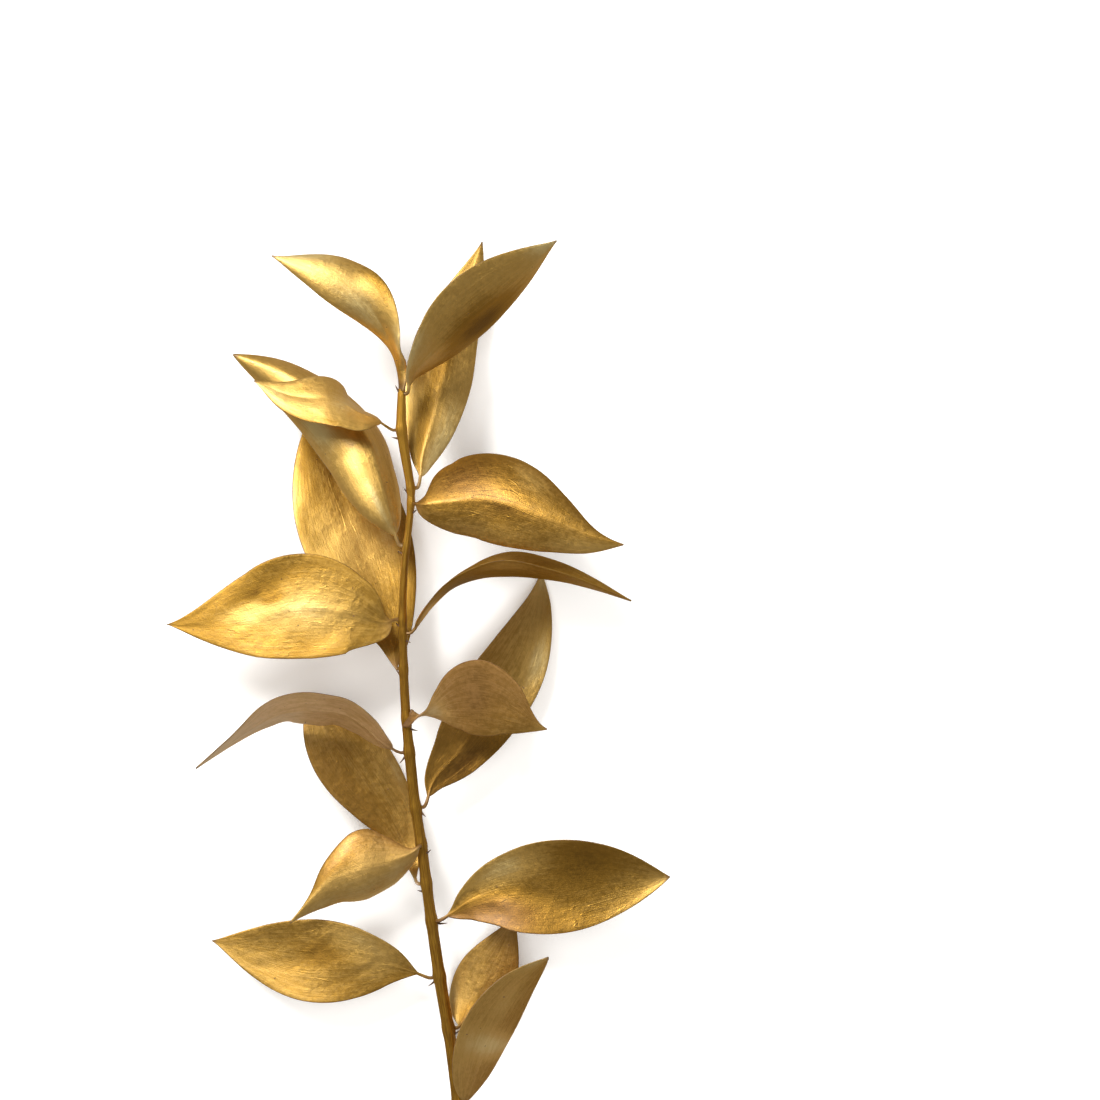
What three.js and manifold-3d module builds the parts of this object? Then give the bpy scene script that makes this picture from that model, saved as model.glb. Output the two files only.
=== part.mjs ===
// A cut stem of dried ruscus, lying down: one ridged woody stem and eighteen leaf blades.
// Millimetres. +Y runs from the cut end to the tip of the stem and +Z is up from the surface it lies on.
import * as THREE from "three";
import Module from "manifold-3d";

const BLADE_THICKNESS = 0.7;
const STALK_THICKNESS = 1.1;
const STALK_HALF_WIDTH = 0.5;
const STALK_FADE = 0.3; // share of the leaf over which the stalk melts into the blade
const EDGE_HALF_WIDTH = 0.15; // half width that is left at the tip of a blade
const JOINT_GAP = 0.35; // between the stem and the end of a stalk
const STALK_RISE = 0.7; // straight first stretch of a stalk
const STEPS_ALONG = 18;
const ROW_CROWDING = 1.5; // power that draws the rows of a blade towards its base
const STEPS_ACROSS = 8;

const STEM_SIDES = 15;
const STEM_RINGS = 60;
const RIDGES = 5;
const RIDGE_DEPTH = 0.045; // share of the radius
const NODE_SWELL = 0.14; // share of the radius, where a leaf grows
const NODE_LENGTH = 2.2;
const HALVINGS = 40; // steps of the search for a height on the stem

// Middle line of the stem as [x, y, z, radius], from the cut end to the tip.
const STEM = [
  [17, -164.5, 2.17, 2.2],
  [14.3, -146, 4.6, 2.15],
  [11, -119, 8.2, 2.1],
  [7, -94, 12.5, 2.1],
  [3.2, -66.5, 17, 1.9],
  [1, -49, 19.5, 1.9],
  [-1.6, -31.5, 21.8, 1.85],
  [-3, -17.5, 23.8, 1.85],
  [-4.2, -5, 25.5, 1.65],
  [-5.1, 10.5, 27.5, 1.55],
  [-5.4, 24.5, 29.6, 1.42],
  [-5.4, 38.5, 31.5, 1.3],
  [-4.6, 52.5, 33, 1.2],
  [-3, 66, 34.3, 1.2],
  [-2.5, 76, 35, 1.35],
  [-4.2, 87.5, 36, 1.65],
  [-5.7, 98, 37, 1.75],
  [-5.7, 106, 37.7, 1.6],
  [-5.6, 112, 38.2, 1.1],
];

// One entry a leaf, from the tip of the stem down.
// foot: height on the stem and angle round it (0 is +X, 90 is up), or none for the leaf at the tip.
// rib: the rest of the midrib. half: widest half width, left and right of the rib seen from above.
// fill: fullness towards the base and the tip, again for the right half where it differs.
// stalk: bare share of the length. strap: half width of a broad stalk.
// left, right: slope of each half blade at even steps from base to tip, in degrees, up is positive.
// curl: how far each half blade bends across, in degrees. wave: height, count and two phases of the edge.
const LEAVES = [
  {
    foot: [],
    rib: [[-6.4, 119, 39.8], [-8.6, 127, 41.5], [-13.5, 136, 43], [-21, 144.5, 44.5],
      [-32, 151.7, 44.5], [-50.5, 158, 42]],
    half: [8.3, 10.5], fill: [1.9, 1.3, 2, 1.5], stalk: 0, strap: 2.4,
    left: [-75, -70, -35, -15, -8, -6, -5], right: [70, 10, 58, 34, 15, -5, -25, -30, -34, -34, -34],
    curl: [-40, -40], wave: [0, 1, 0, 0],
  },
  {
    foot: [110.5, 35],
    rib: [[-2, 116.5, 40.5], [10.2, 129, 42], [23.7, 140.7, 43], [37.3, 152.8, 43], [48.3, 163.4, 42]],
    half: [16.2, 15.2], fill: [1.1, 1.15, 0.85, 1.3], stalk: 0.06,
    left: [50, 36, 32, 30], right: [-72, -66, -63, -55],
    curl: [-20, -20], wave: [0.5, 2, 0, 0.4],
  },
  {
    foot: [77.5, -20],
    rib: [[0.9, 82, 33.6], [1.4, 88, 31], [4.8, 100, 27], [8.5, 115, 21.5], [11.4, 130, 16],
      [17, 148, 11.5], [22, 164.85, 7.5]],
    half: [13.2, 10.4], fill: [1.1, 1.3, 0.75, 0.95], stalk: 0.06,
    left: [4, 2, 0], right: [-16, -18, -16],
    curl: [10, -10], wave: [0.7, 2, 0.2, 0.6],
  },
  {
    foot: [57.5, 180],
    rib: [[-9.5, 68, 36], [-13.3, 82, 35.5], [-17.5, 94, 33.5], [-28.5, 107, 29.5], [-45, 117, 26],
      [-65, 124.5, 23]],
    half: [19, 12.9], fill: [0.75, 0.95], stalk: 0.06,
    left: [0, -14, -16, -25], right: [-40, -64, -65, -45],
    curl: [-70, -40], wave: [0.4, 1.5, 0.3, 0],
  },
  {
    foot: [98, 165],
    rib: [[-14.5, 101.3, 39.5], [-20, 103.2, 40.5], [-25, 106, 40.5], [-31, 108, 40.5],
      [-38, 108.5, 40], [-45, 109.8, 39], [-57, 114.8, 36]],
    half: [9.8, 11.2], fill: [0.8, 1.25, 0.7, 1.25], stalk: 0.12,
    left: [40, 36, 30, 22, 18],
    right: [-76, -77, -78, -79, -80, -80, -76, -56, -44, -37, -32, -30, -30, -31, -32, -34, -36],
    curl: [-25, -20], wave: [0, 1, 0, 0],
  },
  {
    foot: [14.5, 215],
    rib: [[-9.5, 25, 23], [-14, 38, 18.5], [-20, 54, 13], [-27, 73, 8.5], [-33, 90, 4.5],
      [-38, 106, 0.4]],
    half: [19.2, 19.7], fill: [1.15, 1, 1.08, 0.93], stalk: 0.02,
    left: [14, 14, 12], right: [-14, -15, -10],
    curl: [-15, 0], wave: [0.6, 2, 0.1, 0.5],
  },
  {
    foot: [31.8, 160],
    rib: [[-12, 30.8, 33], [-22, 34, 34.5], [-38, 36, 34.5], [-58, 32.5, 32.5], [-75, 30.5, 30],
      [-88, 30, 27.5]],
    half: [17.8, 18.9], fill: [0.7, 1.2, 1, 1.4], stalk: 0.04,
    left: [6, 6, 6], right: [0, -2, -2],
    curl: [8, 8], wave: [0.5, 2, 0, 0.3],
  },
  {
    foot: [-14.5, 165],
    rib: [[-12.5, -11.3, 28], [-19, -5.5, 31], [-26, -1.3, 34], [-33, 0, 36], [-40, 0.5, 37],
      [-48, -1, 36], [-56, -5.2, 33], [-66, -11.8, 29], [-78, -20.5, 24]],
    half: [13, 13], fill: [0.75, 0.95], stalk: 0.06,
    left: [-60, -62, -66, -80, -82], right: [60, 62, 62, 78, 82],
    curl: [10, 10], wave: [0, 1, 0, 0],
  },
  {
    foot: [-61, 200],
    rib: [[-4, -49, 13], [-8, -40, 13], [-14.5, -29.5, 14], [-22, -18.5, 15.5], [-30, -6, 17],
      [-37, 4.5, 18]],
    half: [14.3, 12.4], fill: [1.25, 0.65, 1, 0.6], stalk: 0.05,
    left: [12, 12, 12], right: [-14, -14, -14],
    curl: [-10, -10], wave: [0.4, 1.5, 0.3, 0],
  },
  {
    foot: [-47.3, 100],
    rib: [[-3, -50.3, 24.5], [-10, -53, 26], [-20, -55.5, 28], [-30, -59.5, 28], [-37, -65.5, 27],
      [-45, -74.5, 25]],
    half: [13.1, 13.8], fill: [0.9, 1.3, 1.9, 3.5], stalk: 0.04,
    left: [-50, -32, -30, -30], right: [-10, -15, -20, -40],
    curl: [-60, -30], wave: [0.4, 1.5, 0, 0.5],
  },
  {
    foot: [-94, 165],
    rib: [[-2, -92.5, 14.5], [-10, -90.3, 16], [-22, -89.3, 17.5], [-41, -88.3, 17.5], [-56, -85.7, 16],
      [-73, -81.5, 14]],
    half: [14.1, 15], fill: [1.1, 1.25, 1.1, 1.15], stalk: 0.08,
    left: [4, 5, 5, 4], right: [5, 5, 5],
    curl: [10, 10], wave: [0.5, 2, 0.2, 0.7],
  },
  {
    foot: [72.3, 50],
    rib: [[2, 71.8, 39.5], [11, 72.8, 41.6], [22, 73.5, 43.4], [34, 71, 45.2], [47, 66.3, 46.4],
      [60, 60.8, 46.4], [71.5, 57.8, 45.5]],
    half: [21, 15], fill: [0.8, 1.7, 0.7, 1], stalk: 0.03,
    left: [-44, -40, -32, -32, -36], right: [-14, -16, -16],
    curl: [-40, -20], wave: [0.4, 1.5, 0, 0.4],
  },
  {
    foot: [27, 10],
    rib: [[0.9, 31.3, 31], [5.4, 36.8, 32], [12.5, 42.8, 34], [22, 46.3, 35.5], [32, 47.2, 36.5],
      [42, 46.3, 37], [52, 44.7, 37], [62, 42.2, 36.5], [74.3, 38.3, 36]],
    half: [12, 12], fill: [0.75, 1.1], stalk: 0.05,
    left: [-60, -76, -67, -46, -44, -46, -50], right: [105, 102, 106, 116, 111, 106, 100],
    curl: [0, 0], wave: [0, 1, 0, 0],
  },
  {
    foot: [-2.8, 60],
    rib: [[-1.2, -2.5, 29.8], [3, -0.9, 31], [9, 1.2, 33], [15, 2.4, 34.5], [22, 2.5, 35.5],
      [30, 0.9, 36.5], [37, -2.2, 36.5], [45, -6.4, 36]],
    half: [16.4, 12.1], fill: [1.7, 2.2, 0.8, 1], stalk: 0.14, strap: 3.4,
    left: [165, 80, 42, 26, 22, 22, 22, 22, 25],
    right: [-165, -78, -35, -25, -22, -22, -22, -22, -25],
    curl: [0, 0], wave: [0, 1, 0, 0],
  },
  {
    foot: [-34.5, -10],
    rib: [[5.2, -25, 18], [14, -15, 16.5], [25.5, 0.3, 14], [35, 15.5, 11], [41.5, 35, 5.5],
      [43, 48.3, 0.5]],
    half: [15.6, 11.4], fill: [1.1, 1.25, 0.8, 1], stalk: 0.06,
    left: [14, 20, 28, 34], right: [-12, -10, -12, -14],
    curl: [20, 20], wave: [0.5, 1.5, 0.4, 0],
  },
  {
    foot: [-74.3, 30],
    rib: [[12, -71.2, 18], [17.5, -67.5, 19.5], [26, -64.2, 21], [38, -62.6, 23], [52, -61.6, 23.5],
      [68, -60, 23], [88.05, -58.6, 22]],
    half: [17.6, 16.5], fill: [1.25, 1.1, 0.9, 0.95], stalk: 0.06,
    left: [0, 8, 18, 22, 20], right: [22, 16, 6, 2, 4],
    curl: [24, 24], wave: [0.5, 2, 0, 0.4],
  },
  {
    foot: [-113, -5],
    rib: [[18.3, -105, 8.5], [22.5, -97, 9], [27.5, -87, 10], [34, -73, 12]],
    half: [11.4, 11.4], fill: [0.65, 1.2], stalk: 0.05,
    left: [-30, -25, -5, 0], right: [0, 0, 0],
    curl: [-15, -15], wave: [0.3, 1.5, 0, 0.4],
  },
  {
    foot: [-140, 60],
    rib: [[18.3, -131, 11.5], [24, -115, 15], [33, -100, 17], [45.5, -87, 18]],
    half: [13, 13], fill: [0.75, 0.95], stalk: 0.06,
    left: [40, 40, 40], right: [-52, -52, -52],
    curl: [-12, -12], wave: [0.3, 1.5, 0, 0.4],
  },
];

// Dry bracts on the stem: height on it, angle round it, length and lean towards the tip in degrees.
const BRACTS = [
  [111, 150, 2, 50],
  [95, 175, 2.2, 10],
  [76, 200, 1.6, 40],
  [69, 20, 1.6, 30],
  [54.6, 180, 1.8, 10],
  [29.5, 150, 1.6, 30],
  [24.5, 20, 1.8, -30],
  [12.5, 190, 1.6, 40],
  [-6.5, 30, 3, -20],
  [-16, 170, 3.2, -50],
  [-36, 0, 2.6, -60],
  [-50.5, 25, 1.8, 20],
  [-63.8, 200, 1.8, 0],
  [-75.5, 10, 3.6, -10],
  [-95.5, 175, 3, -35],
  [-115, 10, 2, 20],
  [-141.5, 40, 2, 20],
];
const BRACT_SIDES = 5;
const BRACT_ROOT = 0.9; // how deep a bract's root is sunk in the stem
const BRACT_RADIUS = 0.55;
const BRACT_TIP_RADIUS = 0.12;

const GOLD = { color: 0xb98f3f, roughness: 0.42, metalness: 0.85 };
const STEM_GOLD = { color: 0x8f6a2c, roughness: 0.5, metalness: 0.75 };

const UP = new THREE.Vector3(0, 0, 1);
const radians = THREE.MathUtils.degToRad;
const clamp = THREE.MathUtils.clamp;

// Smooth value at share s of a list of values given at even steps.
function valueAlong(values, s) {
  const last = values.length - 1;
  const x = clamp(s, 0, 1) * last;
  const i = Math.min(Math.floor(x), last - 1);
  const pick = (k) => values[clamp(k, 0, last)];
  const f = x - i;
  const [a, b, c, d] = [pick(i - 1), pick(i), pick(i + 1), pick(i + 2)];
  return 0.5 * (2 * b + (c - a) * f + (2 * a - 5 * b + 4 * c - d) * f * f + (3 * b - a - 3 * c + d) * f ** 3);
}

const stemLine = new THREE.CatmullRomCurve3(STEM.map(([x, y, z]) => new THREE.Vector3(x, y, z)));

// Share of the stem line that lies at height y.
function stemShare(y) {
  let low = 0;
  let high = 1;
  for (let k = 0; k < HALVINGS; k += 1) {
    const middle = (low + high) / 2;
    if (stemLine.getPoint(middle).y < y) {
      low = middle;
    } else {
      high = middle;
    }
  }
  return (low + high) / 2;
}

// Radius of the stem at share s: the smooth list value, swollen near each leaf's foot.
function stemRadius(s) {
  const plain = valueAlong(STEM.map((row) => row[3]), s);
  const y = stemLine.getPoint(s).y;
  const sideLeaves = LEAVES.filter((leaf) => leaf.foot.length);
  const swell = sideLeaves.map((leaf) => Math.exp(-(((y - leaf.foot[0]) / NODE_LENGTH) ** 2)));
  return plain * (1 + NODE_SWELL * Math.max(...swell));
}

// Radius with the lengthwise ridges, at angle round the stem.
function ridgedRadius(s, angle) {
  return stemRadius(s) * (1 + RIDGE_DEPTH * Math.cos(RIDGES * angle));
}

// Middle of the stem at share s, and the outward direction at an angle round it.
function stemFrame(s, angle) {
  const centre = stemLine.getPoint(s);
  const along = stemLine.getTangent(s);
  const side = new THREE.Vector3().crossVectors(along, UP).normalize();
  const top = new THREE.Vector3().crossVectors(side, along);
  const out = side.multiplyScalar(Math.cos(angle)).addScaledVector(top, Math.sin(angle));
  return { centre, along, out };
}

// A closed mesh from rings of points that all have the same count, with a flat fan at each end.
function solidFromRings(rings) {
  const sides = rings[0].length;
  const points = rings.flat();
  const index = [];
  for (let r = 0; r < rings.length - 1; r += 1) {
    for (let k = 0; k < sides; k += 1) {
      const a = r * sides + k;
      const b = r * sides + ((k + 1) % sides);
      index.push(a, b, b + sides, a, b + sides, a + sides);
    }
  }
  const firstMiddle = points.length;
  const lastMiddle = firstMiddle + 1;
  const middle = (ring) => ring.reduce((sum, p) => sum.add(p), new THREE.Vector3()).divideScalar(sides);
  points.push(middle(rings[0]), middle(rings[rings.length - 1]));
  const lastRing = (rings.length - 1) * sides;
  for (let k = 0; k < sides; k += 1) {
    const next = (k + 1) % sides;
    index.push(firstMiddle, next, k);
    index.push(lastMiddle, lastRing + k, lastRing + next);
  }
  return { points, index };
}

function ringRound(centre, first, second, radii) {
  return radii.map((radius, k) => {
    const angle = (2 * Math.PI * k) / radii.length;
    const arm = first.clone().multiplyScalar(radius * Math.cos(angle));
    return arm.addScaledVector(second, radius * Math.sin(angle)).add(centre);
  });
}

function stemShell() {
  const rings = [];
  for (let r = 0; r <= STEM_RINGS; r += 1) {
    const s = r / STEM_RINGS;
    const { centre, out } = stemFrame(s, 0);
    const top = stemFrame(s, Math.PI / 2).out;
    const radii = [];
    for (let k = 0; k < STEM_SIDES; k += 1) {
      radii.push(ridgedRadius(s, (2 * Math.PI * k) / STEM_SIDES));
    }
    rings.push(ringRound(centre, out, top, radii).reverse());
  }
  return solidFromRings(rings);
}

// A bract is a thin cone with its root sunk in the stem, leaning along it.
function bractShell([y, turn, length, lean]) {
  const s = stemShare(y);
  const { centre, along, out } = stemFrame(s, radians(turn));
  const axis = out.clone().multiplyScalar(Math.cos(radians(lean)));
  axis.addScaledVector(along, Math.sin(radians(lean)));
  const first = new THREE.Vector3().crossVectors(axis, along).normalize();
  const second = new THREE.Vector3().crossVectors(axis, first);
  const root = centre.clone().addScaledVector(out, stemRadius(s) - BRACT_ROOT);
  const tip = centre.clone().addScaledVector(out, stemRadius(s)).addScaledVector(axis, length);
  const rings = [
    ringRound(root, first, second, Array(BRACT_SIDES).fill(BRACT_RADIUS)),
    ringRound(tip, first, second, Array(BRACT_SIDES).fill(BRACT_TIP_RADIUS)),
  ];
  return solidFromRings(rings);
}

// The first two points of a leaf's midrib, straight out from the surface or the end of the stem.
function footPoints([y, turn]) {
  if (y === undefined) {
    const { centre, along } = stemFrame(1, 0);
    const end = centre.addScaledVector(along, JOINT_GAP);
    return [end, end.clone().addScaledVector(along, STALK_RISE)];
  }
  const s = stemShare(y);
  const { centre, out } = stemFrame(s, radians(turn));
  const start = centre.addScaledVector(out, ridgedRadius(s, radians(turn)) + JOINT_GAP);
  return [start, start.clone().addScaledVector(out, STALK_RISE)];
}

// Half width of a blade as a share of its widest, rising from the stalk and falling to the tip.
function bladeShare(s, [base, tip], stalk) {
  const t = clamp((s - stalk) / (1 - stalk), 0, 1);
  const peak = base / (base + tip);
  return (t / peak) ** base * ((1 - t) / (1 - peak)) ** tip;
}

// Offset of a half blade at share a of its width: an arc that starts and ends at slope -+ half the curl.
function arcOffset(a, slope, curl) {
  if (Math.abs(curl) < 1e-6) {
    return [a * Math.cos(slope), a * Math.sin(slope)];
  }
  const start = slope - curl / 2;
  const end = start + curl * a;
  return [(Math.sin(end) - Math.sin(start)) / curl, (Math.cos(start) - Math.cos(end)) / curl];
}

// Share of a leaf's length at which a row of points lies.
function rowShare(r) {
  return (r / STEPS_ALONG) ** ROW_CROWDING;
}

// Middle surface of a leaf as rows of points, from base to tip and from its left edge to its right edge.
function leafSheet(leaf) {
  const rib = leaf.rib.map((point) => new THREE.Vector3(...point));
  const line = new THREE.CatmullRomCurve3([...footPoints(leaf.foot), ...rib]);
  const rows = [];
  for (let r = 0; r <= STEPS_ALONG; r += 1) {
    const s = rowShare(r);
    const along = line.getTangentAt(s);
    const side = new THREE.Vector3().crossVectors(along, UP).normalize();
    const top = new THREE.Vector3().crossVectors(side, along);
    const fills = [leaf.fill.slice(0, 2), leaf.fill.slice(-2)];
    const shares = fills.map((fill) => bladeShare(s, fill, leaf.stalk));
    const bare = (leaf.strap ?? STALK_HALF_WIDTH) * Math.max(0, 1 - s / STALK_FADE) + EDGE_HALF_WIDTH;
    const row = [];
    for (let c = 0; c <= STEPS_ACROSS; c += 1) {
      const u = (2 * c) / STEPS_ACROSS - 1;
      const hand = u < 0 ? 0 : 1;
      const slope = radians(valueAlong(hand ? leaf.right : leaf.left, s));
      const [out, up] = arcOffset(Math.abs(u), slope, radians(leaf.curl[hand]));
      const width = leaf.half[hand] * shares[hand] + bare;
      const [height, count, ...phases] = leaf.wave;
      const wave = height * shares[hand] * u * u * Math.sin(2 * Math.PI * (count * s + phases[hand]));
      const point = line.getPointAt(s).addScaledVector(side, (hand ? 1 : -1) * width * out);
      row.push(point.addScaledVector(top, width * up + wave));
    }
    rows.push(row);
  }
  return rows;
}

function sheetNormal(rows, r, c) {
  const back = rows[Math.max(r - 1, 0)][c];
  const front = rows[Math.min(r + 1, rows.length - 1)][c];
  const left = rows[r][Math.max(c - 1, 0)];
  const right = rows[r][Math.min(c + 1, rows[r].length - 1)];
  const across = new THREE.Vector3().subVectors(right, left);
  return across.cross(new THREE.Vector3().subVectors(front, back)).normalize();
}

// A closed blade: the sheet moved to both sides by half its thickness, with a rim between.
function leafShell(leaf) {
  const rows = leafSheet(leaf);
  const rings = rows.map((row, r) => {
    const s = rowShare(r);
    const stalk = Math.max(0, 1 - s / STALK_FADE) ** 2;
    const half = (BLADE_THICKNESS + (STALK_THICKNESS - BLADE_THICKNESS) * stalk) / 2;
    const top = row.map((p, c) => p.clone().addScaledVector(sheetNormal(rows, r, c), half));
    const under = row.map((p, c) => p.clone().addScaledVector(sheetNormal(rows, r, c), -half));
    return [...top, ...under.reverse()];
  });
  return solidFromRings(rings);
}

function geometryOf({ points, index }) {
  const geometry = new THREE.BufferGeometry();
  geometry.setAttribute("position", new THREE.Float32BufferAttribute(points.flatMap((p) => p.toArray()), 3));
  geometry.setIndex(index);
  geometry.computeVertexNormals();
  return geometry;
}

const wasm = await Module();
wasm.setup();

function manifoldOf({ points, index }) {
  const vertProperties = new Float32Array(points.flatMap((p) => p.toArray()));
  const triVerts = new Uint32Array(index);
  return new wasm.Manifold(new wasm.Mesh({ numProp: 3, vertProperties, triVerts }));
}

// The stem and its bracts joined into one body.
function stemGeometry() {
  let body = manifoldOf(stemShell());
  for (const bract of BRACTS) {
    body = body.add(manifoldOf(bractShell(bract)));
  }
  const { vertProperties, triVerts } = body.getMesh();
  const geometry = new THREE.BufferGeometry();
  geometry.setAttribute("position", new THREE.BufferAttribute(new Float32Array(vertProperties), 3));
  geometry.setIndex(new THREE.BufferAttribute(new Uint32Array(triVerts), 1));
  geometry.computeVertexNormals();
  return geometry;
}

function namedMesh(name, geometry, look) {
  const mesh = new THREE.Mesh(geometry, new THREE.MeshStandardMaterial(look));
  mesh.name = name;
  return mesh;
}

const ruscus = new THREE.Group();
ruscus.add(namedMesh("stem", stemGeometry(), STEM_GOLD));
LEAVES.forEach((leaf, k) => {
  const name = `leaf_${String(k + 1).padStart(2, "0")}`;
  ruscus.add(namedMesh(name, geometryOf(leafShell(leaf)), GOLD));
});

export default ruscus;
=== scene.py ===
"""A cut stem of dried ruscus with a satin gold finish, lying on a pale surface.

The leaves and the stem are worked out again on fine grids from the same lines, widths and slopes as the
solid part. Lengths are in millimetres up to put_mesh(), which turns them into metres.
"""

import math

import bpy
import numpy as np
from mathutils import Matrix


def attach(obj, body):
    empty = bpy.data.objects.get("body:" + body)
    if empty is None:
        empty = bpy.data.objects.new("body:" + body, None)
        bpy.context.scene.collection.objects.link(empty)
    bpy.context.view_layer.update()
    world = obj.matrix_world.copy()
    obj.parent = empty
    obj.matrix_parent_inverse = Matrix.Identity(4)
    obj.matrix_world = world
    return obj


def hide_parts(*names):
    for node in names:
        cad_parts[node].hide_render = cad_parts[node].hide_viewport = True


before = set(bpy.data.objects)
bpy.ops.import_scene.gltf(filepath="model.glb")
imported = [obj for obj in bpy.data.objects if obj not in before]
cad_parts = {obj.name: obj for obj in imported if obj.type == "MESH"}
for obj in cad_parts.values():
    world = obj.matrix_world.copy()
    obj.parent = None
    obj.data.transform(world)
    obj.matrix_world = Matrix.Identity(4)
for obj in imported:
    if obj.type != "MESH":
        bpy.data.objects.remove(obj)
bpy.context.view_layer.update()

MM = 0.001
UP = np.array([0.0, 0.0, 1.0])

# ---------------------------------------------------------------------------------------------------
# The plant: the same driving values as the solid part
# ---------------------------------------------------------------------------------------------------

STALK_HALF_WIDTH = 0.5
STALK_FADE = 0.3  # share of the leaf over which the stalk melts into the blade
EDGE_HALF_WIDTH = 0.15  # least half width, so that a tip isn't a bare point
JOINT_GAP = 0.35  # between the stem and the end of a solid leaf's stalk
STALK_RISE = 0.7  # straight first stretch of a stalk
RIDGES = 5  # lengthwise, round the stem
RIDGE_DEPTH = 0.045  # share of the stem's radius
NODE_SWELL = 0.14  # share of the stem's radius, where a leaf grows
NODE_LENGTH = 2.2  # distance along the stem over which a swelling fades

# Middle line of the stem as x, y, z, radius, from the cut end to the tip.
STEM = np.array([
    [17, -164.5, 2.17, 2.2],
    [14.3, -146, 4.6, 2.15],
    [11, -119, 8.2, 2.1],
    [7, -94, 12.5, 2.1],
    [3.2, -66.5, 17, 1.9],
    [1, -49, 19.5, 1.9],
    [-1.6, -31.5, 21.8, 1.85],
    [-3, -17.5, 23.8, 1.85],
    [-4.2, -5, 25.5, 1.65],
    [-5.1, 10.5, 27.5, 1.55],
    [-5.4, 24.5, 29.6, 1.42],
    [-5.4, 38.5, 31.5, 1.3],
    [-4.6, 52.5, 33, 1.2],
    [-3, 66, 34.3, 1.2],
    [-2.5, 76, 35, 1.35],
    [-4.2, 87.5, 36, 1.65],
    [-5.7, 98, 37, 1.75],
    [-5.7, 106, 37.7, 1.6],
    [-5.6, 112, 38.2, 1.1],
])

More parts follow.
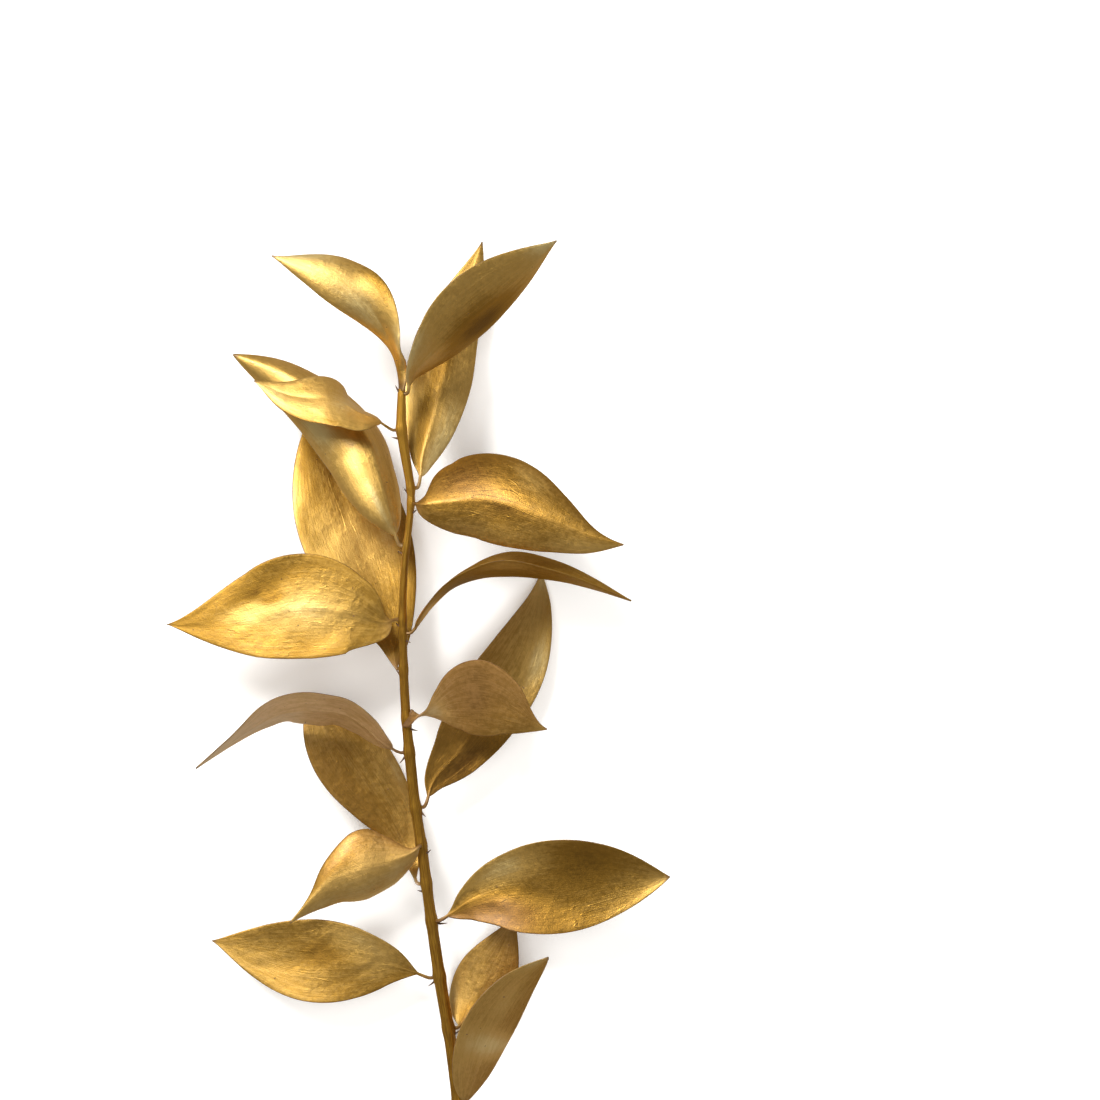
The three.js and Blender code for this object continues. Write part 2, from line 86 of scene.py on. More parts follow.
# One entry a leaf: three at the tip of the stem, eight on its left side and seven on its right, each side
# roughly from the top down.
#   foot    y on the stem and angle round it in degrees; empty for the leaf that ends the stem
#   rib     the rest of the midrib's points
#   half    widest half width, left and right
#   fill    powers that narrow it to base and tip, low for full, then the right half's where they differ
#   stalk   bare share of the length; strap: half width of a stalk that is broader than the rest
#   left, right    slopes of the half blades in degrees, at even steps from base to tip
#   curl    turn of each half blade from midrib to edge, in degrees
#   wave    of the edge: height, waves along it, and phase in turns on the left and on the right
#   tone_and_painted_light    -1 deep, 0 brown, 1 bright, 2 pale gold: one number, or base left and right, tip left and right
# the tone is partly the paint's own, partly painted highlight and painted shade
#   dull    share of thin paint that lets the brown leaf show, given in the same way
#   ridge   how high the midrib stands, as a share of the usual height
#   painted_light_spots    soft oval spots of painted highlight where tone rises and painted shade where it falls:
#           place along and across, reach along and across, change of tone
LEAVES = [
    dict(foot=[], rib=[[-6.4, 119, 39.8], [-8.6, 127, 41.5], [-13.5, 136, 43], [-21, 144.5, 44.5],
              [-32, 151.7, 44.5], [-50.5, 158, 42]],
         half=[8.3, 10.5], fill=[1.9, 1.3, 2, 1.5], stalk=0, strap=2.4,
         left=[-75, -70, -35, -15, -8, -6, -5], right=[70, 10, 58, 34, 15, -5, -25, -30, -34, -34, -34],
         curl=[-40, -40], wave=[0, 1, 0, 0], tone_and_painted_light=[0.3, 0.4, 1.1, 1.5], dull=0,
         painted_light_spots=[[0.45, -0.3, 0.2, 0.6, 1], [0.2, 0.8, 0.15, 0.35, 1.2], [0.5, 0.8, 0.12, 0.3, -0.9],
         [0.88, 0.8, 0.15, 0.35, 0.9], [0.85, 0, 0.15, 0.2, -0.4]]),
    dict(foot=[110.5, 35], rib=[[-2, 116.5, 40.5], [10.2, 129, 42], [23.7, 140.7, 43], [37.3, 152.8, 43],
              [48.3, 163.4, 42]],
         half=[16.2, 15.2], fill=[1.1, 1.15, 0.85, 1.3], stalk=0.06, left=[50, 36, 32, 30],
         right=[-72, -66, -63, -55], curl=[-20, -20], wave=[0.5, 2, 0, 0.4], tone_and_painted_light=[1, 0.6, 1, 0.9],
         dull=0, painted_light_spots=[[0.15, -0.9, 0.12, 0.35, 1.1], [0.2, 0, 0.1, 0.5, 0.6],
         [0.5, 0.45, 0.2, 0.6, -1.7], [0.97, -0.6, 0.1, 0.8, 1.2]]),
    dict(foot=[77.5, -20], rib=[[0.9, 82, 33.6], [1.4, 88, 31], [4.8, 100, 27], [8.5, 115, 21.5],
              [11.4, 130, 16], [17, 148, 11.5], [22, 164.85, 7.5]],
         half=[13.2, 10.4], fill=[1.1, 1.3, 0.75, 0.95], stalk=0.06, left=[4, 2, 0],
         right=[-16, -18, -16], curl=[10, -10], wave=[0.7, 2, 0.2, 0.6], tone_and_painted_light=[0.4, 1.1, 0.5, 0.7],
         dull=0.05, ridge=0.4, painted_light_spots=[[0.22, -0.3, 0.2, 0.22, -1], [0.18, 0.6, 0.22, 0.6, 0.9],
         [0.55, -0.1, 0.15, 0.25, -0.8], [0.38, -0.8, 0.12, 0.3, 0.8]]),
    dict(foot=[57.5, 180], rib=[[-9.5, 68, 36], [-13.3, 82, 35.5], [-17.5, 94, 33.5], [-28.5, 107, 29.5],
              [-45, 117, 26], [-65, 124.5, 23]],
         half=[19, 12.9], fill=[0.75, 0.95], stalk=0.06, left=[0, -14, -16, -25],
         right=[-40, -64, -65, -45], curl=[-70, -40], wave=[0.4, 1.5, 0.3, 0], tone_and_painted_light=[1.1, 0.9, 1, 0.8],
         dull=0, painted_light_spots=[[0.08, 0.5, 0.1, 0.8, 0.6], [0.58, -0.6, 0.1, 0.25, 1.2],
         [0.37, -0.15, 0.11, 0.22, -0.4], [0.2, -0.3, 0.09, 0.12, 0.8], [0.33, 0.1, 0.1, 0.1, 0.5],
         [0.25, 0.5, 0.15, 0.2, -0.4]]),
    dict(foot=[98, 165], rib=[[-14.5, 101.3, 39.5], [-20, 103.2, 40.5], [-25, 106, 40.5],
              [-31, 108, 40.5], [-38, 108.5, 40], [-45, 109.8, 39], [-57, 114.8, 36]],
         half=[9.8, 11.2], fill=[0.8, 1.25, 0.7, 1.25], stalk=0.12, left=[40, 36, 30, 22, 18],
         right=[-76, -77, -78, -79, -80, -80, -76, -56, -44, -37, -32, -30, -30, -31, -32, -34, -36],
         curl=[-25, -20], wave=[0, 1, 0, 0], tone_and_painted_light=[0.9, 1, 0.8, 1.1], dull=0.05,
         painted_light_spots=[[0.6, -0.9, 0.3, 0.25, -0.8], [0.85, -0.2, 0.1, 0.35, 0.6], [0.38, 0.1, 0.1, 0.5, 0.8],
         [0.68, 0.4, 0.08, 0.3, -0.6], [0.05, 0, 0.05, 1, -1.4]]),
    dict(foot=[14.5, 215], rib=[[-9.5, 25, 23], [-14, 38, 18.5], [-20, 54, 13], [-27, 73, 8.5],
              [-33, 90, 4.5], [-38, 106, 0.4]],
         half=[19.2, 19.7], fill=[1.15, 1, 1.08, 0.93], stalk=0.02, left=[14, 14, 12],
         right=[-14, -15, -10], curl=[-15, 0], wave=[0.6, 2, 0.1, 0.5], tone_and_painted_light=[0.3, 0.1, 0.5, 0.4], dull=0,
         painted_light_spots=[[0.48, 0, 0.12, 0.7, 0.8], [0.92, -0.8, 0.14, 0.4, -0.6], [0.52, 0.6, 0.1, 0.2, 0.8]]),
    dict(foot=[31.8, 160], rib=[[-12, 30.8, 33], [-22, 34, 34.5], [-38, 36, 34.5], [-58, 32.5, 32.5],
              [-75, 30.5, 30], [-88, 30, 27.5]],
         half=[17.8, 18.9], fill=[0.7, 1.2, 1, 1.4], stalk=0.04, left=[6, 6, 6], right=[0, -2, -2],
         curl=[8, 8], wave=[0.5, 2, 0, 0.3], tone_and_painted_light=[0.4, 0.4, 0.1, 0], dull=0,
         painted_light_spots=[[0.42, -0.05, 0.18, 0.38, 1.2], [0.66, 0.1, 0.12, 0.3, 0.6],
         [0.53, 0.27, 0.05, 0.09, -1.2], [0.6, 0.5, 0.08, 0.12, -0.8]]),
    dict(foot=[-14.5, 165], rib=[[-12.5, -11.3, 28], [-19, -5.5, 31], [-26, -1.3, 34], [-33, 0, 36],
              [-40, 0.5, 37], [-48, -1, 36], [-56, -5.2, 33], [-66, -11.8, 29], [-78, -20.5, 24]],
         half=[13, 13], fill=[0.75, 0.95], stalk=0.06, left=[-60, -62, -66, -80, -82],
         right=[60, 62, 62, 78, 82], curl=[10, 10], wave=[0, 1, 0, 0], tone_and_painted_light=[1, 1, 1.5, 1.7], dull=0.72),
    dict(foot=[-61, 200], rib=[[-4, -49, 13], [-8, -40, 13], [-14.5, -29.5, 14], [-22, -18.5, 15.5],
              [-30, -6, 17], [-37, 4.5, 18]],
         half=[14.3, 12.4], fill=[1.25, 0.65, 1, 0.6], stalk=0.05, left=[12, 12, 12],
         right=[-14, -14, -14], curl=[-10, -10], wave=[0.4, 1.5, 0.3, 0], tone_and_painted_light=[0.6, 1, -0.1, 0.1],
         dull=[0.1, 0, 0.25, 0.15], painted_light_spots=[[0.1, -0.9, 0.1, 0.4, 1.3], [0.45, -0.6, 0.2, 0.5, -0.4],
         [0.52, 0.85, 0.12, 0.3, 1], [0.9, -0.5, 0.1, 0.5, 0.6]]),
    dict(foot=[-47.3, 100], rib=[[-3, -50.3, 24.5], [-10, -53, 26], [-20, -55.5, 28], [-30, -59.5, 28],
              [-37, -65.5, 27], [-45, -74.5, 25]],
         half=[13.1, 13.8], fill=[0.9, 1.3, 1.9, 3.5], stalk=0.04, left=[-50, -32, -30, -30],
         right=[-10, -15, -20, -40], curl=[-60, -30], wave=[0.4, 1.5, 0, 0.5], tone_and_painted_light=[1.8, -0.1, 1.8, 0.3],
         dull=[0.05, 0.5, 0, 0], painted_light_spots=[[0.6, 0.5, 0.15, 0.3, -0.8], [0.2, -0.8, 0.1, 0.5, 0.7]]),
    dict(foot=[-94, 165], rib=[[-2, -92.5, 14.5], [-10, -90.3, 16], [-22, -89.3, 17.5],
              [-41, -88.3, 17.5], [-56, -85.7, 16], [-73, -81.5, 14]],
         half=[14.1, 15], fill=[1.1, 1.25, 1.1, 1.15], stalk=0.08, left=[4, 5, 5, 4], right=[5, 5, 5],
         curl=[10, 10], wave=[0.5, 2, 0.2, 0.7], tone_and_painted_light=[0, 0.6, 0.7, 0.3], dull=0.05,
         painted_light_spots=[[0.36, 0.7, 0.1, 0.35, 0.8], [0.52, 0.2, 0.08, 0.3, -0.6], [0.25, 0.2, 0.08, 0.7, 0.6]]),
    dict(foot=[72.3, 50], rib=[[2, 71.8, 39.5], [11, 72.8, 41.6], [22, 73.5, 43.4], [34, 71, 45.2],
              [47, 66.3, 46.4], [60, 60.8, 46.4], [71.5, 57.8, 45.5]],
         half=[21, 15], fill=[0.8, 1.7, 0.7, 1], stalk=0.03, left=[-44, -40, -32, -32, -36],
         right=[-14, -16, -16], curl=[-40, -20], wave=[0.4, 1.5, 0, 0.4], tone_and_painted_light=[0.1, 0.2, 0.1, 0.5],
         dull=0.08, ridge=0.1, painted_light_spots=[[0.25, -0.4, 0.18, 0.45, -1], [0.45, 0.1, 0.12, 0.2, -0.6],
         [0.5, -0.7, 0.1, 0.25, 0.7], [0.85, 0.7, 0.14, 0.4, 0.7], [0.3, 0.85, 0.2, 0.25, 0.4]]),
    dict(foot=[27, 10], rib=[[0.9, 31.3, 31], [5.4, 36.8, 32], [12.5, 42.8, 34], [22, 46.3, 35.5],
              [32, 47.2, 36.5], [42, 46.3, 37], [52, 44.7, 37], [62, 42.2, 36.5], [74.3, 38.3, 36]],
         half=[12, 12], fill=[0.75, 1.1], stalk=0.05, left=[-60, -76, -67, -46, -44, -46, -50],
         right=[105, 102, 106, 116, 111, 106, 100], curl=[0, 0], wave=[0, 1, 0, 0],
         tone_and_painted_light=[0.1, 0.2, 0.3, 0.2], dull=0, painted_light_spots=[[0.14, 0, 0.07, 0.6, 1.2], [0.3, 0, 0.12, 1, -1],
         [0.45, -0.5, 0.12, 0.4, 0.5], [0.5, 0.7, 0.12, 0.3, 0.7]]),
    dict(foot=[-2.8, 60], rib=[[-1.2, -2.5, 29.8], [3, -0.9, 31], [9, 1.2, 33], [15, 2.4, 34.5],
              [22, 2.5, 35.5], [30, 0.9, 36.5], [37, -2.2, 36.5], [45, -6.4, 36]],
         half=[16.4, 12.1], fill=[1.7, 2.2, 0.8, 1], stalk=0.14, strap=3.4,
         left=[165, 80, 42, 26, 22, 22, 22, 22, 25], right=[-165, -78, -35, -25, -22, -22, -22, -22, -25],
         curl=[0, 0], wave=[0, 1, 0, 0], tone_and_painted_light=[0.4, 0.3, -0.1, 0.3], dull=[0.6, 0.5, 0.3, 0.1],
         painted_light_spots=[[0.2, 0, 0.08, 1, 1.6], [0.5, 0, 0.12, 1, -0.5], [1, 0, 0.08, 1, 0.9]]),
    dict(foot=[-34.5, -10], rib=[[5.2, -25, 18], [14, -15, 16.5], [25.5, 0.3, 14], [35, 15.5, 11],
              [41.5, 35, 5.5], [43, 48.3, 0.5]],
         half=[15.6, 11.4], fill=[1.1, 1.25, 0.8, 1], stalk=0.06, left=[14, 20, 28, 34],
         right=[-12, -10, -12, -14], curl=[20, 20], wave=[0.5, 1.5, 0.4, 0], tone_and_painted_light=[-0.1, -0.6, 0.5, 1.5],
         dull=[0.1, 0.1, 0.35, 0], painted_light_spots=[[0.67, 0.6, 0.1, 0.4, 1.1], [1, 0, 0.08, 1, 1],
         [0.25, 0.5, 0.12, 0.6, -0.7]]),
    dict(foot=[-74.3, 30], rib=[[12, -71.2, 18], [17.5, -67.5, 19.5], [26, -64.2, 21], [38, -62.6, 23],
              [52, -61.6, 23.5], [68, -60, 23], [88.05, -58.6, 22]],
         half=[17.6, 16.5], fill=[1.25, 1.1, 0.9, 0.95], stalk=0.06, left=[0, 8, 18, 22, 20],
         right=[22, 16, 6, 2, 4], curl=[24, 24], wave=[0.5, 2, 0, 0.4], tone_and_painted_light=[0.8, -1, 0.2, 0.8],
         dull=[0, 0.15, 0, 0], ridge=0.4, painted_light_spots=[[0.33, -0.6, 0.12, 0.4, 1.3],
         [0.66, -0.5, 0.12, 0.5, -0.6], [0.28, 0.55, 0.17, 0.4, -1.1], [0.97, 0, 0.06, 0.8, 0.7]]),
    dict(foot=[-113, -5], rib=[[18.3, -105, 8.5], [22.5, -97, 9], [27.5, -87, 10], [34, -73, 12]],
         half=[11.4, 11.4], fill=[0.65, 1.2], stalk=0.05, left=[-30, -25, -5, 0], right=[0, 0, 0],
         curl=[-15, -15], wave=[0.3, 1.5, 0, 0.4], tone_and_painted_light=[1.8, -0.6, 0.1, 0.1], dull=[0, 0.1, 0.3, 0.3],
         painted_light_spots=[[0.1, 0.1, 0.12, 0.5, -1.2], [0.93, -0.3, 0.08, 0.8, 0.6], [0.2, -0.9, 0.1, 0.25, 0.6]]),
    dict(foot=[-140, 60], rib=[[18.3, -131, 11.5], [24, -115, 15], [33, -100, 17], [45.5, -87, 18]],
         half=[13, 13], fill=[0.75, 0.95], stalk=0.06, left=[40, 40, 40], right=[-52, -52, -52],
         curl=[-12, -12], wave=[0.3, 1.5, 0, 0.4], tone_and_painted_light=[0.8, 0.2, 0.8, 0.3], dull=[0.3, 0.3, 0.1, 0.1],
         painted_light_spots=[[0.4, 0.3, 0.08, 1, 1.6], [0.66, -0.1, 0.12, 0.3, 0.6], [0.93, -0.8, 0.1, 0.5, 0.8]]),
]

# Dry bracts: y on the stem, angle round it in degrees, length, and lean towards the tip in degrees.
BRACTS = [
    [111, 150, 2, 50],
    [95, 175, 2.2, 10],
    [76, 200, 1.6, 40],
    [69, 20, 1.6, 30],
    [54.6, 180, 1.8, 10],
    [29.5, 150, 1.6, 30],
    [24.5, 20, 1.8, -30],
    [12.5, 190, 1.6, 40],
    [-6.5, 30, 3, -20],
    [-16, 170, 3.2, -50],
    [-36, 0, 2.6, -60],
    [-50.5, 25, 1.8, 20],
    [-63.8, 200, 1.8, 0],
    [-75.5, 10, 3.6, -10],
    [-95.5, 175, 3, -35],
    [-115, 10, 2, 20],
    [-141.5, 40, 2, 20],
]

# ---------------------------------------------------------------------------------------------------
# Lines and lists
# ---------------------------------------------------------------------------------------------------


LINE_SAMPLES = 2400


def smooth_along(values, s):
    """Smooth values at shares s of a list given at even steps: the cubic through four neighbours."""
    values = np.asarray(values, float)
    last = len(values) - 1
    x = np.clip(s, 0, 1) * last
    i = np.minimum(np.floor(x).astype(int), last - 1)
    f = x - i
    a, b, c, d = (values[np.clip(i + k, 0, last)] for k in (-1, 0, 1, 2))
    return 0.5 * (2 * b + (c - a) * f + (2 * a - 5 * b + 4 * c - d) * f**2
                  + (3 * b - a - 3 * c + d) * f**3)


def curve_point(points, t):
    """Points at parameters t of the centripetal curve through points: on each span a cubic whose end
    tangents weigh the neighbouring chords by the square roots of their lengths."""
    last = len(points) - 1
    x = np.clip(t, 0, 1) * last
    i = np.minimum(np.floor(x).astype(int), last - 1)
    f = (x - i)[:, None]
    padded = np.vstack([2 * points[0] - points[1], points, 2 * points[-1] - points[-2]])
    p0, p1, p2, p3 = (padded[i + k] for k in range(4))
    d0, d1, d2 = (np.sqrt(np.linalg.norm(b - a, axis=1))[:, None] for a, b in ((p0, p1), (p1, p2), (p2, p3)))
    m1 = ((p1 - p0) / d0 - (p2 - p0) / (d0 + d1) + (p2 - p1) / d1) * d1
    m2 = ((p2 - p1) / d1 - (p3 - p1) / (d1 + d2) + (p3 - p2) / d2) * d1
    return p1 + m1 * f + (3 * (p2 - p1) - 2 * m1 - m2) * f**2 + (2 * (p1 - p2) + m1 + m2) * f**3


def unit(v):
    """Vectors scaled to length 1."""
    return v / np.maximum(np.linalg.norm(v, axis=-1, keepdims=True), 1e-12)


def even_line(points, s):
    """Points and directions at shares s of the curve's length, read off its running length."""
    dense = curve_point(points, np.linspace(0, 1, LINE_SAMPLES))
    run = np.concatenate([[0], np.cumsum(np.linalg.norm(np.diff(dense, axis=0), axis=1))])
    slope = unit(np.gradient(dense, axis=0))
    at = np.clip(s, 0, 1) * run[-1]
    place = np.stack([np.interp(at, run, dense[:, k]) for k in range(3)], axis=1)
    along = unit(np.stack([np.interp(at, run, slope[:, k]) for k in range(3)], axis=1))
    return place, along, run[-1]


def frame_round(along):
    """Sideways and upward directions square to a line's direction."""
    side = unit(np.cross(along, UP))
    return side, np.cross(side, along)


# ---------------------------------------------------------------------------------------------------
# The stem
# ---------------------------------------------------------------------------------------------------

STEM_T = np.linspace(0, 1, 4001)
STEM_Y = curve_point(STEM[:, :3], STEM_T)[:, 1]
STEM_STEP = 1e-4  # change of parameter over which the stem's direction is read
SIDE_FEET = np.array([leaf["foot"] for leaf in LEAVES if leaf["foot"]])


def stem_radius(t, y):
    """The list's smooth radius, swollen by a bell at each leaf's foot."""
    swell = np.exp(-(((y[:, None] - SIDE_FEET[:, 0]) / NODE_LENGTH) ** 2)).max(axis=1)
    return smooth_along(STEM[:, 3], t) * (1 + NODE_SWELL * swell)


def stem_line(t):
    """Middle and direction of the stem at parameters t."""
    ahead, behind = (curve_point(STEM[:, :3], t + step) for step in (STEM_STEP, -STEM_STEP))
    return curve_point(STEM[:, :3], t), unit(ahead - behind)


def stem_at(y, angle):
    """Middle of the stem, its direction, the outward direction at an angle, and its ridged radius."""
    t = np.interp(np.atleast_1d(y).astype(float), STEM_Y, STEM_T)
    middle, along = stem_line(t)
    side, top = frame_round(along)
    out = side * np.cos(angle) + top * np.sin(angle)
    radius = stem_radius(t, middle[:, 1]) * (1 + RIDGE_DEPTH * np.cos(RIDGES * angle))
    return middle[0], along[0], out[0], radius[0]


# ---------------------------------------------------------------------------------------------------
# Leaf blades
# ---------------------------------------------------------------------------------------------------

BLADE_ROWS = 130
BLADE_COLUMNS = 48
ROW_CROWDING = 1.3  # power that sets the rows closer near the stalk
BLADE_HALF_THICKNESS = 0.3
STALK_HALF_THICKNESS = 0.52
EDGE_ROUNDING = 14  # power of the width at which the thickness falls off: high for a blunt edge
STALK_ROOT = 0.9  # from the end of the solid's stalk back into the stem
MIDRIB_HALF_WIDTH = 0.5
MIDRIB_HEIGHT = 0.15
MIDRIB_FADE = 0.6  # share of the leaf over which the raised midrib fades out
GROOVE_DEPTH = 0.04
MIDRIB_THICKENING = 0.08  # on each face at the base
THICKENING_HALF_WIDTH = 0.8
COCKLE_FULL_WIDTH = 17.0  # half width of a blade that shows the cockle in full
COCKLE_SKEW = 0.5  # most that a wave drifts along the blade, in waves a half width
# Waves of the cockle: length, half waves across a half blade, and height.
COCKLE_WAVES = ((50, 0.8, 0.34), (29, 1.5, 0.12), (14, 2.6, 0.05), (8, 4.2, 0.025))


def foot_points(foot):
    """First two points of a midrib: inside the stem, and a short way straight out from it."""
    if not foot:
        middle, along, _, _ = stem_at(STEM[-1, 1], 0)
        return [middle + along * (JOINT_GAP - STALK_ROOT), middle + along * (JOINT_GAP + STALK_RISE)]
    middle, _, out, radius = stem_at(foot[0], math.radians(foot[1]))
    start = middle + out * (radius + JOINT_GAP)
    return [start - out * STALK_ROOT, start + out * STALK_RISE]


def blade_share(s, base, tip, stalk):
    """Half width as a share of the widest: a power rising from the stalk times one falling to the tip."""
    t = np.clip((s - stalk) / (1 - stalk), 0, 1)
    peak = base / (base + tip)
    return (t / peak) ** base * ((1 - t) / (1 - peak)) ** tip


def arc_offset(a, slope, curl):
    """Offset along and square to the blade at share a of a half width: an arc about the slope."""
    if abs(curl) < 1e-6:
        return a * np.cos(slope), a * np.sin(slope)
    start = slope - curl / 2
    end = start + curl * a
    return (np.sin(end) - np.sin(start)) / curl, (np.cos(start) - np.cos(end)) / curl


def cockle(u, along_mm, seed):
    """Slow unevenness of a dried blade, in mm: long low waves that run lengthwise and drift across."""
    rng = np.random.default_rng(seed)
    total = np.zeros(np.broadcast(u, along_mm).shape)
    for length, columns, height in COCKLE_WAVES:
        phase, drift = rng.uniform(0, 2 * math.pi, 2)
        skew = rng.uniform(-COCKLE_SKEW, COCKLE_SKEW)
        total += height * np.sin(2 * math.pi * (along_mm / length + skew * u) + phase) * np.cos(
            columns * math.pi * u + drift)
    return total


def leaf_surface(leaf, seed):
    """Middle surface of a blade on a grid, and the shares of its length and width there.

    From each point of the midrib a half blade leaves to either side at its slope, bent into an arc, and
    its edge waves. On it lie the cockle, and a thin rib that fades into a shallow groove. Columns crowd
    towards the edges by the cubic u = 1.5 x - 0.5 x^3."""
    s = np.linspace(0, 1, BLADE_ROWS + 1) ** ROW_CROWDING
    x = np.linspace(-1, 1, BLADE_COLUMNS + 1)
    u = (1.5 * x - 0.5 * x**3)[None, :]
    rib, along, length = even_line(np.array(foot_points(leaf["foot"]) + leaf["rib"], float), s)
    side, top = frame_round(along)
    bare = leaf.get("strap", STALK_HALF_WIDTH) * np.maximum(0, 1 - s / STALK_FADE) + EDGE_HALF_WIDTH
    height, count, *phases = leaf["wave"]
    sideways = np.zeros((len(s), u.shape[1]))
    upwards = np.zeros_like(sideways)
    fullness = np.zeros_like(sideways)
    for hand, sign, slopes in ((0, -1, leaf["left"]), (1, 1, leaf["right"])):
        here = (u[0] < 0) if hand == 0 else (u[0] >= 0)
        share = blade_share(s, *leaf["fill"][-2:] if hand else leaf["fill"][:2], leaf["stalk"])
        slope = np.radians(smooth_along(slopes, s))[:, None]
        out, up = arc_offset(np.abs(u[:, here]), slope, math.radians(leaf["curl"][hand]))
        width = (leaf["half"][hand] * share + bare)[:, None]
        wave = height * np.sin(2 * math.pi * (count * s + phases[hand]))[:, None] * share[:, None]
        sideways[:, here] = sign * width * out
        upwards[:, here] = width * up + wave * u[:, here] ** 2
        fullness[:, here] = share[:, None]
    along_mm = s[:, None] * length
    depth = min(leaf["half"]) / COCKLE_FULL_WIDTH
    low = depth * cockle(u, along_mm, seed) * np.minimum(fullness, 1) * (1 - 0.5 * u**2)
    ridge = leaf.get("ridge", 1) * MIDRIB_HEIGHT * np.maximum(0, 1 - s / MIDRIB_FADE) - GROOVE_DEPTH
    midrib = ridge[:, None] * np.exp(-((u * leaf["half"][0] / MIDRIB_HALF_WIDTH) ** 2))
    midrib = midrib * np.minimum(fullness * 2, 1)
    points = rib[:, None] + side[:, None] * sideways[..., None] + top[:, None] * upwards[..., None]
    points = points + sheet_normals(points) * (low + midrib)[..., None]
    return points, s, np.broadcast_to(u, low.shape), length


def sheet_normals(points):
    """Unit normals of a grid of points: the cross product of its two finite differences."""
    return unit(np.cross(np.gradient(points, axis=1), np.gradient(points, axis=0)))


def leaf_shell(leaf, seed):
    """Closed blade: rings of points, over the top face and back under the lower one, that meet in a
    blunt edge. Thickness falls from the stalk along the blade, and to nothing at its edge as the root of
    one less a high power of the width."""
    points, s, u, length = leaf_surface(leaf, seed)
    normal = sheet_normals(points)
    stalk = np.maximum(0, 1 - s / STALK_FADE)[:, None] ** 2
    stalk = stalk * np.exp(-((u * leaf["half"][0] * blade_share(s, *leaf["fill"][:2], 0)[:, None]) ** 2) / 2)
    half = BLADE_HALF_THICKNESS + (STALK_HALF_THICKNESS - BLADE_HALF_THICKNESS) * stalk
    rib_thick = MIDRIB_THICKENING * np.exp(-((u * leaf["half"][0] / THICKENING_HALF_WIDTH) ** 2))
    half = half + rib_thick * np.maximum(0, 1 - s)[:, None]
    half = half * np.sqrt(np.clip(1 - np.abs(u) ** EDGE_ROUNDING, 0, 1))
    top = points + normal * half[..., None]
    under = points - normal * half[..., None]
    rings = np.concatenate([top, under[:, -2:0:-1]], axis=1)
    across = np.concatenate([u, u[:, -2:0:-1]], axis=1)
    share = np.broadcast_to(s[:, None], across.shape)
    return rings, dict(across=across, along=share * length, share=share)


# ---------------------------------------------------------------------------------------------------
# Meshes
# ---------------------------------------------------------------------------------------------------


def ring_faces(rows, sides):
    """Quads between neighbouring rings, then a fan of triangles at either end about a middle point."""
    r, k = np.meshgrid(np.arange(rows - 1), np.arange(sides), indexing="ij")
    a = r * sides + k
    b = r * sides + (k + 1) % sides
    quads = np.stack([a, b, b + sides, a + sides], axis=-1).reshape(-1, 4)
    ring = np.arange(sides)
    following = (ring + 1) % sides
    first, last = rows * sides, rows * sides + 1
    start = np.stack([np.full(sides, first), following, ring], axis=1)
    end = np.stack([np.full(sides, last), (rows - 1) * sides + ring, (rows - 1) * sides + following], axis=1)
    return quads, np.concatenate([start, end])


def put_mesh(name, points, quads, triangles, values=None):
    """A smooth mesh object from points in mm, faces, and one list of numbers a point for each name."""
    mesh = bpy.data.meshes.new(name)
    loops = np.concatenate([quads.ravel(), triangles.ravel()])
    totals = np.concatenate([np.full(len(quads), 4), np.full(len(triangles), 3)])
    mesh.vertices.add(len(points))
    mesh.vertices.foreach_set("co", (points * MM).astype(np.float32).ravel())
    mesh.loops.add(len(loops))
    mesh.loops.foreach_set("vertex_index", loops.astype(np.int32))
    mesh.polygons.add(len(totals))
    mesh.polygons.foreach_set("loop_start", (np.cumsum(totals) - totals).astype(np.int32))
    mesh.polygons.foreach_set("use_smooth", np.ones(len(totals), bool))
    mesh.update(calc_edges=True)
    for key, numbers in (values or {}).items():
        attribute = mesh.attributes.new(key, "FLOAT", "POINT")
        attribute.data.foreach_set("value", numbers.astype(np.float32).ravel())
    thing = bpy.data.objects.new(name, mesh)
    bpy.context.scene.collection.objects.link(thing)
    return thing


def close_rings(rings, values):
    """Points of the rings with a middle point for each end, and the values carried to those points."""
    middles = rings[[0, -1]].mean(axis=1)
    points = np.concatenate([rings.reshape(-1, 3), middles])
    full = {key: np.concatenate([v.ravel(), v[[0, -1]].mean(axis=1)]) for key, v in values.items()}
    quads, triangles = ring_faces(*rings.shape[:2])
    return points, quads, triangles, full


# ---------------------------------------------------------------------------------------------------
# Stem mesh
# ---------------------------------------------------------------------------------------------------

STEM_ROWS = 720
STEM_SIDES = 60
# Fine ribs: depth as a share of the radius, ribs round the stem, turn with height, and phase.
FINE_RIBS = ((0.012, 13, 0.03, 0), (0.008, 21, -0.05, 1))
GRAIN_DEPTH = 0.006  # share of the radius
BOSS_HEIGHT = 0.15
BOSS_REACH = 1.7  # along the stem
BOSS_TURN = 0.6  # round the stem, in radians

BRACT_ROWS = 7
BRACT_SIDES = 8
BRACT_ROOT = 0.4  # how far it reaches into the stem
BRACT_RADIUS = 0.42
BRACT_TIP_RADIUS = 0.05
BRACT_BEND = 0.5  # towards the tip of the stem


